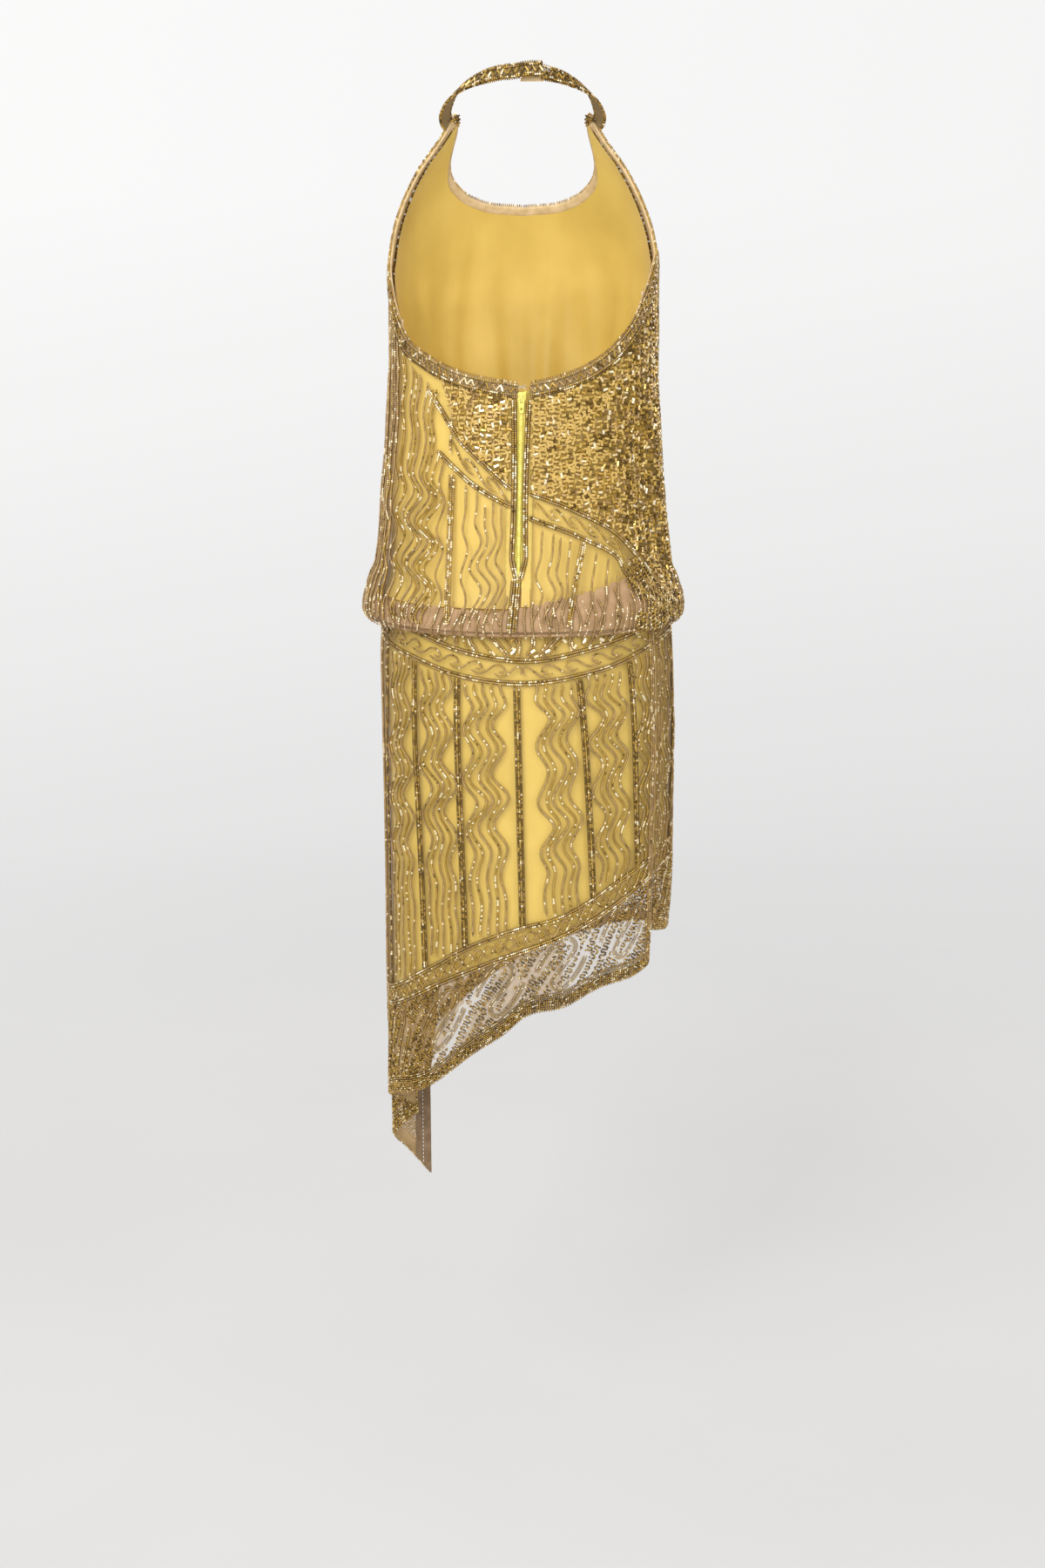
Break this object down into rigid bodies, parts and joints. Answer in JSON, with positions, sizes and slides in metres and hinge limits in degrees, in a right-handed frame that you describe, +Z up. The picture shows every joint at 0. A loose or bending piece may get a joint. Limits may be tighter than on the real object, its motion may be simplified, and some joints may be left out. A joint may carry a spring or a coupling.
{
  "type": "flapper dress",
  "caption": "Beaded halter-neck flapper dress with an open zipped back, a blouson bodice over a dropped waist and a steeply slanted hem, hollow as when worn.",
  "frame": {"origin": "middle of the back of the neck, on the inner face of the halter strap's underlap, where the neck carries the dress", "axes": "+Z up along the worn dress, +Y to the wearer's front, +X to the wearer's right"},
  "size_m": [0.3357, 0.2737, 1.2067],
  "materials": {
    "beaded_net": "sheer mauve-taupe net sewn all over with gold and bronze glass beads",
    "bead_band": "dense rows of gold and bronze glass beads on a net band",
    "lining": "soft satin, golden yellow",
    "facing": "plain matt lining cloth, pale beige yellow",
    "underlap": "plain matt ribbon, beige",
    "stay_tab": "satin ribbon, pale pink",
    "zip_tape": "woven zip tape, lemon yellow",
    "zip_metal": "lemon yellow enamelled metal",
    "hook_wire": "nickel-plated wire"
  },
  "bodies": {
    "dress": {"bodice_back_left": "beaded_net", "bodice_back_right": "beaded_net", "bodice_front": "beaded_net", "neckband_left": "bead_band", "neckband_right": "bead_band", "neck_facing_left": "facing", "neck_facing_right": "facing", "strap_left": "bead_band", "strap_right": "bead_band", "strap_underlap": "underlap", "bodice_lining": "lining", "stay_tab_left": "stay_tab", "stay_tab_right": "stay_tab", "zip_tape_left": "zip_tape", "zip_tape_right": "zip_tape", "zip_chain": "zip_metal", "zip_slider": "zip_metal", "back_hook": "hook_wire", "back_eye": "hook_wire", "neck_hook": "hook_wire", "neck_eye": "hook_wire", "skirt_back": "beaded_net", "skirt_front": "beaded_net", "skirt_lining": "lining"},
    "zip_pull": {"zip_pull": "zip_metal"}
  },
  "joints": [
    {"name": "zip_pull_hinge", "type": "hinge", "parent": "dress", "child": "zip_pull", "pos_m": [-0.00112, -0.05411, -0.3065], "axis": [-1, 0, 0], "range_deg": [0, 150]}
  ]
}
